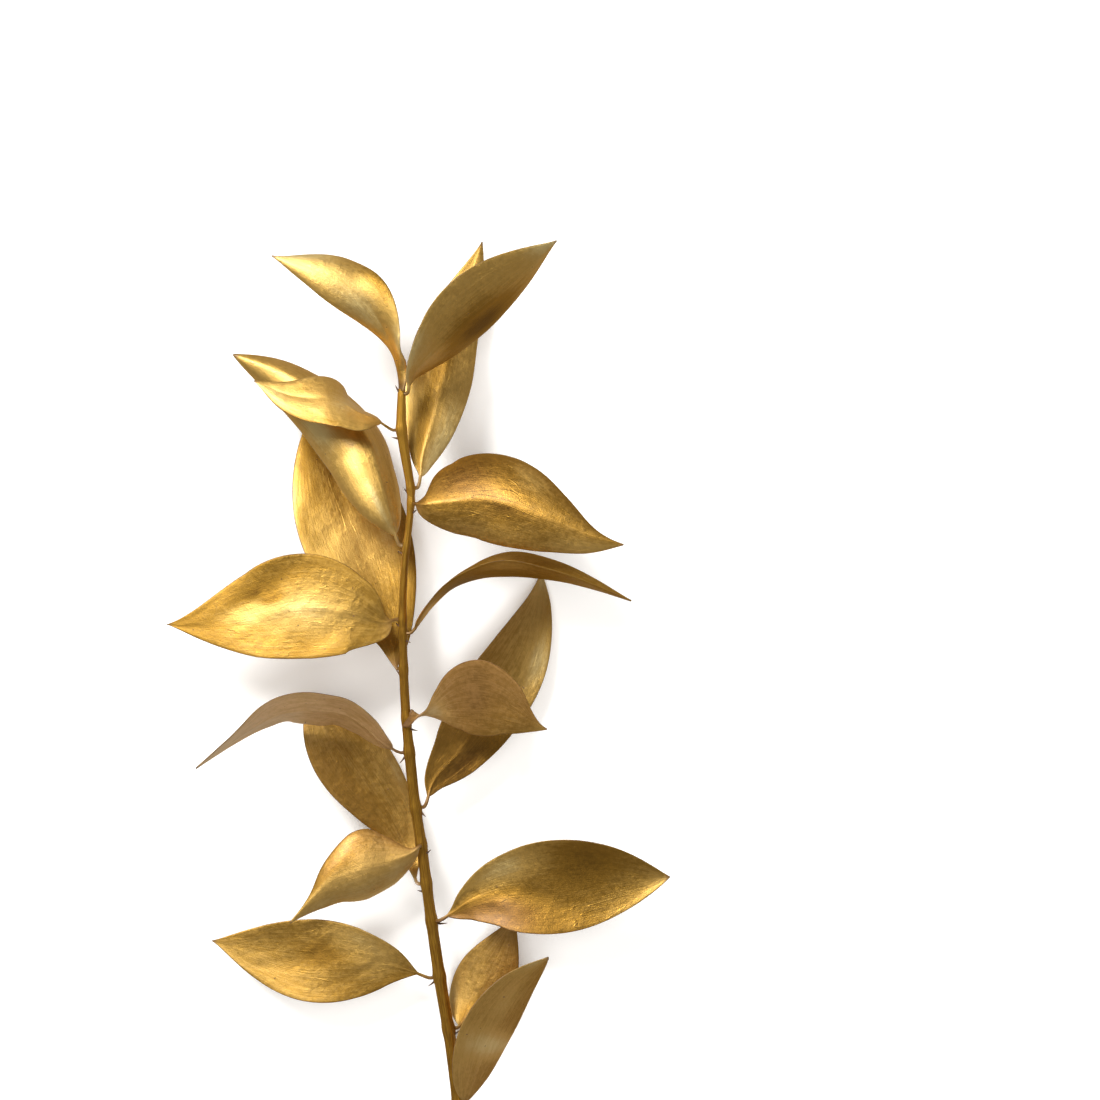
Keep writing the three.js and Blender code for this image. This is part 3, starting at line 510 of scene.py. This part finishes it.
def stem_rings():
    """Rings square to the stem's line. The radius is the solid's, with finer lengthwise ribs that drift
    round the stem, and a boss on the side where each leaf grows."""
    t = np.linspace(0, 1, STEM_ROWS + 1)
    middle, along = stem_line(t)
    side, top = frame_round(along)
    angle = np.linspace(0, 2 * math.pi, STEM_SIDES, endpoint=False)[None, :]
    y = middle[:, 1:2]
    plain = stem_radius(t, middle[:, 1])[:, None]
    ridges = RIDGE_DEPTH * np.cos(RIDGES * angle)
    fine = sum(depth * np.cos(ribs * angle + drift * y + phase) for depth, ribs, drift, phase in FINE_RIBS)
    grain = GRAIN_DEPTH * np.sin(0.5 * y + 3 * np.sin(angle * 2))
    boss = np.zeros((len(t), STEM_SIDES))
    for foot_y, foot_angle in SIDE_FEET:
        turn = np.angle(np.exp(1j * (angle - math.radians(foot_angle))))
        up_stem = BOSS_HEIGHT * np.exp(-(((y - foot_y) / BOSS_REACH) ** 2))
        boss += up_stem * np.exp(-((turn / BOSS_TURN) ** 2))
    radius = plain * (1 + ridges + fine + grain) + boss
    out = side[:, None] * np.cos(angle)[..., None] + top[:, None] * np.sin(angle)[..., None]
    rings = middle[:, None] + out * radius[..., None]
    values = dict(turn=np.broadcast_to(angle, radius.shape), along=np.broadcast_to(y, radius.shape))
    return rings[:, ::-1], {key: v[:, ::-1] for key, v in values.items()}


def bract_rings(y, turn, length, lean):
    """A thin spike that tapers from its root in the stem and bends a little towards the stem's tip."""
    middle, along, out, radius = stem_at(y, math.radians(turn))
    axis = out * math.cos(math.radians(lean)) + along * math.sin(math.radians(lean))
    first = unit(np.cross(axis, along))
    second = np.cross(axis, first)
    angle = np.linspace(0, 2 * math.pi, BRACT_SIDES, endpoint=False)[:, None]
    circle = first * np.cos(angle) + second * np.sin(angle)
    k = np.linspace(0, 1, BRACT_ROWS)[:, None, None]
    centre = middle + out * (radius - BRACT_ROOT) + axis * (BRACT_ROOT + length) * k
    centre = centre + along * BRACT_BEND * k**2
    return centre + (BRACT_RADIUS * (1 - k) ** 0.8 + BRACT_TIP_RADIUS) * circle


# ---------------------------------------------------------------------------------------------------
# Materials
# ---------------------------------------------------------------------------------------------------


class Finish:
    """A material with one principled shader, and short calls that add nodes and link them."""

    def __init__(self, name):
        self.material = bpy.data.materials.new(name)
        self.material.use_nodes = True
        self.tree = self.material.node_tree
        self.shader = self.tree.nodes["Principled BSDF"]

    def link(self, source, target):
        self.tree.links.new(source, target)

    def add(self, kind, settings=(), **inputs):
        """A new node with its settings, and its inputs given by name with _ for a space."""
        node = self.tree.nodes.new(kind)
        for key, value in dict(settings).items():
            setattr(node, key, value)
        for key, value in inputs.items():
            self.give(node.inputs[key.replace("_", " ")], value)
        return node

    def give(self, socket, value):
        """Link the socket to another node's output, or set it to a plain value."""
        if isinstance(value, bpy.types.NodeSocket):
            self.link(value, socket)
        else:
            socket.default_value = value

    def set(self, **inputs):
        """The shader's inputs, given by name with _ for a space."""
        for key, value in inputs.items():
            self.give(self.shader.inputs[key.replace("_", " ")], value)

    def math(self, operation, a, b=0.0):
        node = self.add("ShaderNodeMath", dict(operation=operation))
        self.give(node.inputs[0], a)
        self.give(node.inputs[1], b)
        return node.outputs[0]

    def value_of(self, name):
        """An attribute of the mesh."""
        return self.add("ShaderNodeAttribute", dict(attribute_name=name)).outputs["Fac"]

    def place(self):
        """Place on the object, in metres."""
        return self.add("ShaderNodeTexCoord").outputs["Object"]

    def noise(self, vector, scale, detail=2.0, roughness=0.5):
        return self.add("ShaderNodeTexNoise", Vector=vector, Scale=scale, Detail=detail,
                        Roughness=roughness).outputs["Fac"]

    def lengthwise(self, across, along, seed, columns, pace):
        """Place for noise drawn out along a blade: so many columns a half width, slow along it."""
        return self.add("ShaderNodeCombineXYZ", X=self.math("MULTIPLY", across, columns),
                        Y=self.math("MULTIPLY", along, pace), Z=seed).outputs[0]

    def ramp(self, value, *stops):
        """A smooth step: stops are the value where it starts and ends, and what it gives at each."""
        node = self.add("ShaderNodeMapRange", dict(interpolation_type="SMOOTHSTEP"), Value=value)
        for key, number in zip(("From Min", "From Max", "To Min", "To Max"), stops):
            node.inputs[key].default_value = number
        return node.outputs["Result"]

    def mix(self, share, first, second):
        """A colour that goes from the first to the second as share goes from 0 to 1."""
        node = self.add("ShaderNodeMix", dict(data_type="RGBA"))
        for socket, value in zip((0, 6, 7), (share, first, second)):
            self.give(node.inputs[socket], value)
        return node.outputs[2]

    def bump(self, height, distance, strength, under=None):
        """Relief of the given height, on top of the relief under it."""
        node = self.add("ShaderNodeBump", Height=height, Distance=distance, Strength=strength)
        if under is not None:
            self.link(under, node.inputs["Normal"])
        return node.outputs[0]


# Pale gold is a painted highlight; deep gold is darker paint that also serves as painted shade.
PALE_GOLD_HIGHLIGHT = (0.95, 0.75, 0.33, 1)
BRIGHT_GOLD = (0.75, 0.475, 0.115, 1)
BROWN_GOLD = (0.41, 0.222, 0.03, 1)
DEEP_GOLD_AND_SHADE = (0.18, 0.086, 0.011, 1)
GOLD_GLOSS = (1.0, 0.78, 0.45, 1)
THIN_PAINT_PALE = (0.40, 0.215, 0.13, 1)
THIN_PAINT_DARK = (0.24, 0.12, 0.065, 1)
DRY_EDGE = (0.10, 0.045, 0.015, 1)
STEM_BROWN = (0.24, 0.115, 0.014, 1)
STEM_GOLD = (0.45, 0.24, 0.03, 1)
STEM_MOTTLE = (0.24, 0.115, 0.016, 1)
STEM_TOP_GOLD = (0.70, 0.38, 0.05, 1)
BRACT_BROWN = (0.035, 0.016, 0.008, 1)
BRACT_FLECK = (0.12, 0.06, 0.025, 1)
SURFACE_WHITE = (0.93, 0.93, 0.925, 1)
SURFACE_GLOW = (1, 0.99, 0.98, 1)

# Scales of the noises on the object's own place, in features a metre.
FLAKES = 2600.0
MOTTLE = 700.0
SPECKS = 620.0
CRUMPLE = 330.0
STEM_MOTTLING = 300.0
BRACT_FLECKS = 900.0
WORN_PATCHES = 120.0
PATCHES = 60.0


def gold_by_tone(f, tone_and_painted_light):
    """Deep, brown, bright and pale gold, one after the other as the given value rises from -1 to 2. The pale
    end is a painted highlight, and the deep end is darker paint that also serves as painted shade.
    """
    gold = f.mix(f.ramp(tone_and_painted_light, -1, 0.1, 0, 1), DEEP_GOLD_AND_SHADE, BROWN_GOLD)
    gold = f.mix(f.ramp(tone_and_painted_light, 0, 1.1, 0, 1), gold, BRIGHT_GOLD)
    return f.mix(f.ramp(tone_and_painted_light, 1, 2.2, 0, 1), gold, PALE_GOLD_HIGHLIGHT)


def worn_share(f, across, share, spot):
    """Share of paint that is off: along the edge, at tip and foot, and in scattered specks."""
    edge = f.math("MULTIPLY", f.ramp(f.math("ABSOLUTE", across), 0.97, 0.995, 0, 1),
                  f.ramp(f.noise(spot, WORN_PATCHES), 0.35, 0.6, 0.4, 0.95))
    tip = f.ramp(share, 0.965, 0.99, 0, 0.85)
    foot = f.ramp(share, 0.02, 0.11, 0.85, 0)
    specks = f.ramp(f.noise(spot, SPECKS, 0.0), 0.85, 0.88, 0, 0.85)
    return f.math("MAXIMUM", f.math("MAXIMUM", edge, f.math("MAXIMUM", tip, foot)), specks)


def gold_leaf():
    """Satin gold paint on a dry leaf: flakes as a fine grain, lengthwise streaks and wrinkles, mottle, and
    thin paint that lets the brown leaf show."""
    f = Finish("gold_leaf")
    across, along = f.value_of("across"), f.value_of("along")
    share, tone_and_painted_light, dull, seed = (f.value_of(name) for name in ("share", "tone_and_painted_light", "dull", "seed"))
    spot = f.place()
    broad = f.lengthwise(across, along, seed, 5.0, 0.08)
    fine = f.lengthwise(across, along, seed, 22.0, 0.05)
    flakes = f.noise(spot, FLAKES, 2.0, 0.7)
    mottle = f.noise(spot, MOTTLE, 3.0, 0.65)
    patches = f.noise(spot, PATCHES, 3.0, 0.55)
    streaks = f.noise(broad, 1.6, 4.0, 0.6)
    strokes = f.noise(fine, 1.6, 3.0, 0.6)
    uneven = f.math("ADD", f.math("MULTIPLY", streaks, 0.3), f.math("MULTIPLY", mottle, 0.35))
    uneven = f.math("ADD", uneven, f.math("MULTIPLY", strokes, 0.35))
    shift = f.ramp(uneven, 0.38, 0.62, -0.18, 0.18)
    cloud = f.ramp(patches, 0.3, 0.7, -0.06, 0.06)
    # Painted highlight and painted shade ride on the tone here, with the paint's streaks, mottle and patches
    # added
    bright = f.math("ADD", f.math("ADD", tone_and_painted_light, shift), cloud)
    thin = f.math("MULTIPLY", dull, f.ramp(patches, 0.2, 0.7, 0.8, 1.0))
    primer = f.mix(f.ramp(uneven, 0.42, 0.58, 0, 1), THIN_PAINT_DARK, THIN_PAINT_PALE)
    painted = f.mix(thin, gold_by_tone(f, bright), primer)
    worn = worn_share(f, across, share, spot)
    rough = f.math("ADD", f.ramp(flakes, 0.3, 0.7, 0.44, 0.54), f.math("MULTIPLY", thin, 0.1))
    f.set(Base_Color=f.mix(worn, painted, DRY_EDGE),
          Metallic=f.ramp(f.math("MAXIMUM", thin, worn), 0, 1, 1.0, 0.25),
          Roughness=f.math("ADD", rough, f.ramp(mottle, 0.3, 0.7, -0.05, 0.07)),
          Specular_Tint=GOLD_GLOSS,
          Coat_Weight=f.ramp(bright, 0, 1.5, 0.2, 0.9),
          Coat_Roughness=0.36,
          Coat_IOR=1.6)
    line = f.noise(f.lengthwise(across, along, seed, 4.0, 0.03), 1.2, 1.0, 0.4)
    wrinkle = f.ramp(f.math("ABSOLUTE", f.math("SUBTRACT", line, 0.5)), 0, 0.012, 1, 0)
    wrinkle = f.math("MULTIPLY", wrinkle, f.ramp(patches, 0.45, 0.6, 0, 1))
    crumple = f.math("MULTIPLY", f.noise(spot, CRUMPLE, 2.0, 0.5), f.ramp(patches, 0.45, 0.65, 0.15, 1))
    surface = f.bump(strokes, 0.0004, 0.16)
    surface = f.bump(wrinkle, 0.0005, 0.22, surface)
    surface = f.bump(crumple, 0.0008, 0.3, surface)
    surface = f.bump(mottle, 0.0004, 0.18, surface)
    f.set(Normal=f.bump(flakes, 0.0002, 0.4, surface))
    return f.material


def gold_stem():
    """Satin gold paint on a dry ribbed stem: lengthwise fibres, a brown mottle, brighter to the top."""
    f = Finish("gold_stem")
    turn, along = f.value_of("turn"), f.value_of("along")
    spot = f.place()
    ring = f.add("ShaderNodeCombineXYZ", X=f.math("COSINE", turn), Y=f.math("SINE", turn),
                 Z=f.math("MULTIPLY", along, 0.02)).outputs[0]
    fibres = f.noise(ring, 7.0, 3.0, 0.6)
    mottle = f.noise(spot, STEM_MOTTLING, 3.0, 0.6)
    flakes = f.noise(spot, FLAKES, 2.0, 0.7)
    gold = f.mix(f.ramp(fibres, 0.35, 0.65, 0, 1), STEM_BROWN, STEM_GOLD)
    gold = f.mix(f.ramp(mottle, 0.4, 0.75, 0, 0.4), gold, STEM_MOTTLE)
    gold = f.mix(f.ramp(along, 30, 110, 0, 0.4), gold, STEM_TOP_GOLD)
    f.set(Base_Color=gold,
          Metallic=0.85,
          Roughness=f.ramp(flakes, 0.3, 0.7, 0.34, 0.48),
          Normal=f.bump(flakes, 0.00025, 0.35, f.bump(fibres, 0.0006, 0.3)))
    return f.material


def dry_bract():
    """Bare dry bract, dark brown with a lighter fleck."""
    f = Finish("dry_bract")
    fleck = f.noise(f.place(), BRACT_FLECKS, 2.0)
    f.set(Base_Color=f.mix(f.ramp(fleck, 0.4, 0.7, 0, 1), BRACT_BROWN, BRACT_FLECK),
          Roughness=f.ramp(fleck, 0.3, 0.7, 0.55, 0.75))
    return f.material


def pale_surface():
    """Matt white, with a weak emission that lightens the shadows on it."""
    f = Finish("pale_surface")
    f.set(Base_Color=SURFACE_WHITE, Roughness=0.9, Specular_IOR_Level=0.1,
          Emission_Color=SURFACE_GLOW, Emission_Strength=0.14)
    return f.material


# ---------------------------------------------------------------------------------------------------
# The pieces
# ---------------------------------------------------------------------------------------------------


SEED_STEP = 3.7  # sets the streaks of one leaf apart from the next


def add_piece(thing, material, node):
    """Give a piece its finish, and say what it rides on, which node it replaces."""
    thing.data.materials.append(material)
    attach(thing, "root")
    if node:
        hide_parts(node)
    return thing


def spread(given, values):
    """One number over the whole blade, or four blended evenly between base left and right, tip left and
    right."""
    base_left, base_right, tip_left, tip_right = given if isinstance(given, list) else [given] * 4
    right = (values["across"] + 1) / 2
    base = base_left + (base_right - base_left) * right
    tip = tip_left + (tip_right - tip_left) * right
    return base + (tip - base) * values["share"]


def painted_light_spots(spots, values):
    """Sum of soft oval spots over a blade, each a bell along it times a bell across it: painted highlight
    where the change is above zero, painted shade where it is below.
    """
    total = np.zeros(values["share"].shape)
    for along, across, reach_along, reach_across, change in spots:
        away = ((values["share"] - along) / reach_along) ** 2
        total += change * np.exp(-away - ((values["across"] - across) / reach_across) ** 2)
    return total


def build_leaves():
    finish = gold_leaf()
    for k, leaf in enumerate(LEAVES, 1):
        rings, values = leaf_shell(leaf, seed=k)
        # Tone of the paint, with the painted highlight and painted shade of the spots added to it
        values["tone_and_painted_light"] = spread(leaf["tone_and_painted_light"], values) + painted_light_spots(leaf.get("painted_light_spots", []), values)
        values["dull"] = spread(leaf["dull"], values)
        values["seed"] = np.full(rings.shape[:2], SEED_STEP * k)
        node = f"leaf_{k:02d}"
        add_piece(put_mesh(f"blade_{k:02d}", *close_rings(rings, values)), finish, node)


def build_stem():
    add_piece(put_mesh("ribbed_stem", *close_rings(*stem_rings())), gold_stem(), "stem")


def build_bracts():
    """All bracts as one piece."""
    points, quads, triangles, start = [], [], [], 0
    for bract in BRACTS:
        ring_points, four, three, _ = close_rings(bract_rings(*bract), {})
        points.append(ring_points)
        quads.append(four + start)
        triangles.append(three + start)
        start += len(ring_points)
    thing = put_mesh("bracts", *(np.concatenate(x) for x in (points, quads, triangles)))
    add_piece(thing, dry_bract(), None)


build_stem()
build_leaves()
build_bracts()

# ---------------------------------------------------------------------------------------------------
# Stage: pale floor, soft light, camera straight above
# ---------------------------------------------------------------------------------------------------

# Metres, and millimetres for the lens and its sensor.
CAMERA_PLACE = (0.046, 0.056, 2.0)
CAMERA_LENS = 184.7
CAMERA_REACH = 20
SENSOR_WIDTH = 36.0
FLOOR_HALF = 3.0
LIGHT_ABOVE = (0.235, 0.218, 0.19, 1)
LIGHT_BELOW = (0.475, 0.41, 0.315, 1)
HORIZON = 0.1  # half height of the band where the light from below gives way to that from above
KEY_LIGHT = dict(place=(-0.75, 1.1, 1.5), aim=(0, 0.02, 0.02), size=(0.7, 0.7), power=50,
                 colour=(1.0, 0.99, 0.97))
SOFT_FILL = dict(place=(0.3, -0.5, 2.4), aim=(0, 0, 0), size=(2.6, 2.6), power=64,
                 colour=(1.0, 0.99, 0.98), in_gloss=False)


def build_floor():
    corners = np.array([[-1, -1, 0], [1, -1, 0], [1, 1, 0], [-1, 1, 0]]) * FLOOR_HALF / MM
    floor = put_mesh("floor", corners.astype(float), np.array([[0, 1, 2, 3]]), np.zeros((0, 3), int))
    floor.data.materials.append(pale_surface())
    floor.visible_glossy = False


def add_softbox(name, place, aim, size, power, colour, in_gloss=True):
    """A rectangular light that faces the point it aims at; glossy surfaces may leave it out."""
    light = bpy.data.lights.new(name, "AREA")
    light.shape = "RECTANGLE"
    light.size, light.size_y = size
    light.energy = power
    light.color = colour
    lamp = bpy.data.objects.new(name, light)
    lamp.location = place
    lamp.visible_glossy = in_gloss
    away = np.array(place) - np.array(aim)
    lamp.rotation_euler = (math.atan2(math.hypot(away[0], away[1]), away[2]), 0,
                           math.atan2(away[1], away[0]) + math.pi / 2)
    bpy.context.scene.collection.objects.link(lamp)


def build_world():
    """Dim even light from above, and from below the light that the pale surface would send up."""
    world = bpy.data.worlds.new("studio")
    world.use_nodes = True
    nodes, links = world.node_tree.nodes, world.node_tree.links
    direction = nodes.new("ShaderNodeSeparateXYZ")
    links.new(nodes.new("ShaderNodeTexCoord").outputs["Generated"], direction.inputs[0])
    blend = nodes.new("ShaderNodeMapRange")
    links.new(direction.outputs["Z"], blend.inputs["Value"])
    blend.inputs["From Min"].default_value = -HORIZON
    blend.inputs["From Max"].default_value = HORIZON
    colour = nodes.new("ShaderNodeMix")
    colour.data_type = "RGBA"
    links.new(blend.outputs["Result"], colour.inputs[0])
    colour.inputs[6].default_value = LIGHT_BELOW
    colour.inputs[7].default_value = LIGHT_ABOVE
    links.new(colour.outputs[2], nodes["Background"].inputs["Color"])
    bpy.context.scene.world = world


def build_camera():
    """Straight above the stem, looking down, with the top of the picture towards the tip."""
    data = bpy.data.cameras.new("camera")
    data.sensor_width = SENSOR_WIDTH
    data.lens = CAMERA_LENS
    data.clip_end = CAMERA_REACH
    camera = bpy.data.objects.new("camera", data)
    camera.location = CAMERA_PLACE
    bpy.context.scene.collection.objects.link(camera)
    bpy.context.scene.camera = camera


bpy.context.scene.view_settings.view_transform = "Standard"
build_floor()
build_world()
build_camera()
add_softbox("key_light", **KEY_LIGHT)
add_softbox("soft_fill", **SOFT_FILL)
